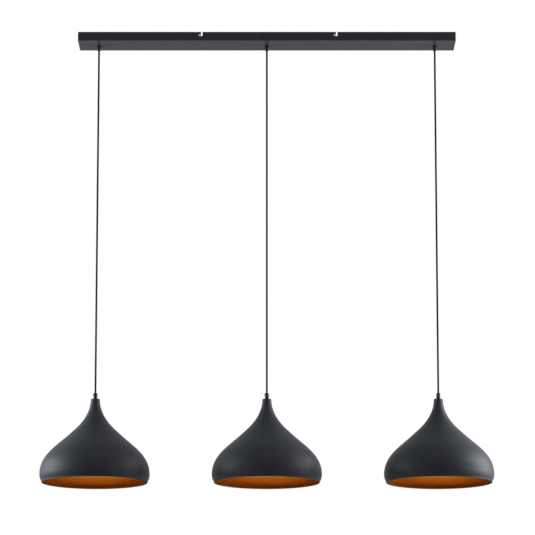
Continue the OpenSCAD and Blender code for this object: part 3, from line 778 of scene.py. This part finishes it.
# A core wire's distance from the middle and its depth below the shade's top
CORE_ROUTE = (
    (0.0013, 0.03905), (0.0013, 0.0405), (0.0027, 0.043), (0.0064, 0.0464), (0.008, 0.049), (0.008, 0.054),
)


def holder_inside(side, x):
    """The white insert, the brass shell with its rolled thread and tongue, and the two core wires."""
    body = f"shade_{side}"
    eased(f"holder_insert_{side}", body, CERAMIC, 0.0003)
    rings = 96
    heights = np.linspace(INSERT_END - 0.0006, INSERT_END - 0.0196, rings)
    outside = np.stack([np.full(rings, CONTACT_R), heights], 1)
    inside = np.stack([np.full(rings, CONTACT_IN_R), heights], 1)[::-1]
    profile = np.vstack([
        [(CONTACT_HOLE_R, INSERT_END - FIT), (CONTACT_R - 0.0002, INSERT_END - FIT)], outside, inside,
        [(CONTACT_IN_R - 0.0002, INSERT_END - 0.00045), (CONTACT_HOLE_R, INSERT_END - 0.00045)],
    ])
    contact = turned(
        f"threaded_shell_{side}", profile, x, SHADE_TOP, body, [BRASS], 64, closed=True,
        relief=lambda a, h, r: np.where(r > 0.0134, 0.0002 * np.cos(TAU * h / E27_PITCH - a), 0),
    )
    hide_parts(f"holder_contacts_{side}")
    tongue_r, tongue_h = 0.004, 0.003
    profile = rounded(
        [
            (0.0, INSERT_END), (tongue_r, INSERT_END), (tongue_r, INSERT_END + tongue_h),
            (0.0, INSERT_END + tongue_h),
        ],
        [0, 0.0004, 0.0002, 0],
    )
    tongue = turned(f"contact_tongue_{side}", profile, x, SHADE_TOP, body, [BRASS], 32)
    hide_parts(f"holder_contacts_{side}")

    wires = (("blue", 1, "core_blue", CORE_BLUE), ("brown", -1, "black_cord", CORE_BROWN))
    for name, way, slot, surface in wires:
        line = smooth_route([(x + way * r, 0, SHADE_TOP - d) for r, d in CORE_ROUTE], 0.0006)
        core = tube(f"{name}_core_{side}", line, 0.0009, body, surface, 12)
        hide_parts(f"core_wires_{side}")


def bulb(side, x):
    """The bulb: its glass, a bowl that narrows to a neck, its cap with a rolled thread, and its contact."""
    body = f"bulb_{side}"
    centre, neck_r = BULB_END + BULB_R, 0.0145
    shoulder = BULB_CAP_END - 0.0015
    profile = np.vstack([
        [(0.0, BULB_CAP_END + 0.004), (0.01225, BULB_CAP_END + 0.004), (0.01225, BULB_CAP_END)],
        bezier(
            (neck_r, shoulder), (neck_r + 0.001, shoulder - 0.018), (BULB_R, centre + 0.024),
            (BULB_R, centre), 26,
        ),
        [
            (BULB_R * math.cos(a), centre - BULB_R * math.sin(a))
            for a in np.linspace(0, math.pi / 2, 22)[1:]
        ],
    ])
    glass = turned(f"bulb_bowl_{side}", profile, x, SHADE_TOP, body, [OPAL], 64)
    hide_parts(f"bulb_glass_{side}")
    top, rings = BULB_TOP - 0.0016 - FIT, 90
    heights = np.linspace(top - 0.005, BULB_CAP_END + 0.0012, rings)
    profile = np.vstack([
        [(0.0, top), (0.0054, top), (BULB_CAP_R - 0.002, top - 0.0035)],
        np.stack([np.full(rings, BULB_CAP_R), heights], 1),
        [(BULB_CAP_R, BULB_CAP_END), (BULB_CAP_IN_R, BULB_CAP_END)],
        [(BULB_CAP_IN_R, top - 0.0054), (0.0, top - 0.0054)],
    ])
    waves = thread(E27_PITCH, 0.0011, BULB_CAP_END + 0.001, top - 0.0045)
    screw = turned(
        f"bulb_screw_cap_{side}", profile, x, SHADE_TOP, body, [BULB_ALLOY], 64,
        relief=lambda a, h, r: np.where(r > 0.0129, waves(a, h, r), 0),
    )
    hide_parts(f"bulb_cap_{side}")
    eased(f"bulb_contact_{side}", f"bulb_contact_{side}", BRASS, 0.0003)


def cord(side, x):
    """The cord: a half ball where it bends in the canopy grip, the free length and the tail in the shade."""
    lean = np.linspace(-math.pi / 2, math.pi / 2, 13)
    bend = turned(
        f"cord_elbow_{side}", 0.98 * CORD_R * np.stack([np.cos(lean), np.sin(lean)], 1), x, PIVOT_Z,
        f"hang_{side}", [SHEATH], 20,
    )
    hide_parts(f"cord_bend_{side}")
    line = [(x, 0, z) for z in np.linspace(PIVOT_Z, CORD_END_TOP, 110)]
    flex = tube(f"free_cord_{side}", line, CORD_R, f"cord_{side}", SHEATH, 20, (True, False))
    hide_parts(f"cord_{side}")
    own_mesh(flex)
    line = [(x, 0, z) for z in np.linspace(CORD_END_TOP, SHADE_TOP - 0.039, 14)]
    tail = tube(f"cord_tail_{side}", line, CORD_R, f"end_{side}", SHEATH, 20)
    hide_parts(f"cord_end_{side}")


for side, x in SIDES.items():
    spun_shade(side, x)
    grip_and_nipple(side, x)
    holder_cap_and_skirt(side, x)
    holder_inside(side, x)
    bulb(side, x)
    cord(side, x)


# Stage: a pale floor far below, light from the sides and above, and the camera

def floor_material():
    """Pale paint that fades out with distance, and doesn't hide what stands over it from below."""
    m = bpy.data.materials.new("pale_floor")
    m.use_nodes = True
    tree = m.node_tree
    paint = tree.nodes["Principled BSDF"]
    paint.inputs["Base Color"].default_value = (0.86, 0.86, 0.86, 1)
    paint.inputs["Roughness"].default_value = 0.9
    where = tree.nodes.new("ShaderNodeTexCoord")
    far = tree.nodes.new("ShaderNodeVectorMath")
    far.operation = "LENGTH"
    tree.links.new(where.outputs["Object"], far.inputs[0])
    fade = tree.nodes.new("ShaderNodeMapRange")
    fade.interpolation_type = "SMOOTHSTEP"
    for label, value in (("From Min", 1.0), ("From Max", 4.5), ("To Min", 1.0), ("To Max", 0.0)):
        fade.inputs[label].default_value = value
    tree.links.new(far.outputs["Value"], fade.inputs["Value"])
    above = math_of(tree, "SUBTRACT", 1.0, tree.nodes.new("ShaderNodeNewGeometry").outputs["Backfacing"])
    shown = math_of(tree, "MULTIPLY", fade.outputs["Result"], above)
    tree.links.new(shown, paint.inputs["Alpha"])
    return m


mesh = bpy.data.meshes.new("floor")
HALF, LEVEL = 12, -2.6
corners = [(-HALF, -HALF, LEVEL), (HALF, -HALF, LEVEL), (HALF, HALF, LEVEL), (-HALF, HALF, LEVEL)]
mesh.from_pydata(corners, [], [(0, 1, 2, 3)])
mesh.materials.append(floor_material())
floor = bpy.data.objects.new("floor", mesh)
scene.collection.objects.link(floor)

world = bpy.data.worlds.new("studio")
scene.world = world
world.use_nodes = True
tree = world.node_tree
tree.nodes.clear()
path = tree.nodes.new("ShaderNodeLightPath")
seen = math_of(tree, "MAXIMUM", path.outputs["Is Camera Ray"], path.outputs["Is Glossy Ray"])
seen = math_of(tree, "MAXIMUM", seen, path.outputs["Is Transmission Ray"])
soft = tree.nodes.new("ShaderNodeBackground")
soft.inputs["Color"].default_value = (0.95, 0.97, 1.0, 1)
soft.inputs["Strength"].default_value = 0.33
white = tree.nodes.new("ShaderNodeBackground")
white.inputs["Color"].default_value = (1, 1, 1, 1)
white.inputs["Strength"].default_value = 1.0
mix = tree.nodes.new("ShaderNodeMixShader")
tree.links.new(seen, mix.inputs[0])
tree.links.new(soft.outputs[0], mix.inputs[1])
tree.links.new(white.outputs[0], mix.inputs[2])
tree.links.new(mix.outputs[0], tree.nodes.new("ShaderNodeOutputWorld").inputs[0])


def softbox(name, place, target, size, power, colour=(1, 1, 1)):
    """A flat lamp at a place that faces its target."""
    light = bpy.data.lights.new(name, "AREA")
    light.shape = "RECTANGLE"
    light.size, light.size_y = size
    light.energy = power
    light.color = colour
    lamp = bpy.data.objects.new(name, light)
    lamp.location = place
    lamp.rotation_euler = (Vector(target) - Vector(place)).to_track_quat("-Z", "Y").to_euler()
    scene.collection.objects.link(lamp)


softbox("left_softbox", (-2.3, 0.1, -0.85), (-0.5, 0, -1.25), (1.6, 1.2), 155, (0.93, 0.97, 1.0))
softbox("right_softbox", (2.3, 0.2, -0.75), (0.5, 0, -1.2), (1.4, 1.7), 225, (0.98, 0.98, 1.0))
softbox("front_softbox", (0.3, -3.0, 2.6), (0, 0, -0.9), (2.4, 1.6), 78)

# The photograph's view: from the front, 11 degrees from below
CAMERA_PLACE = (0.0019, -9.0, -2.455)
CAMERA_TILT = 90 + 11.031

lens = bpy.data.cameras.new("camera")
lens.lens = 209.9
lens.sensor_width = 36
lens.sensor_fit = "HORIZONTAL"
lens.clip_end = 200
camera = bpy.data.objects.new("camera", lens)
camera.location = CAMERA_PLACE
camera.rotation_euler = (math.radians(CAMERA_TILT), 0, 0)
scene.collection.objects.link(camera)
scene.camera = camera
scene.view_settings.view_transform = "Standard"
# Picking lamps evenly keeps the thin highlights on the shades' flanks smooth
scene.cycles.use_light_tree = False
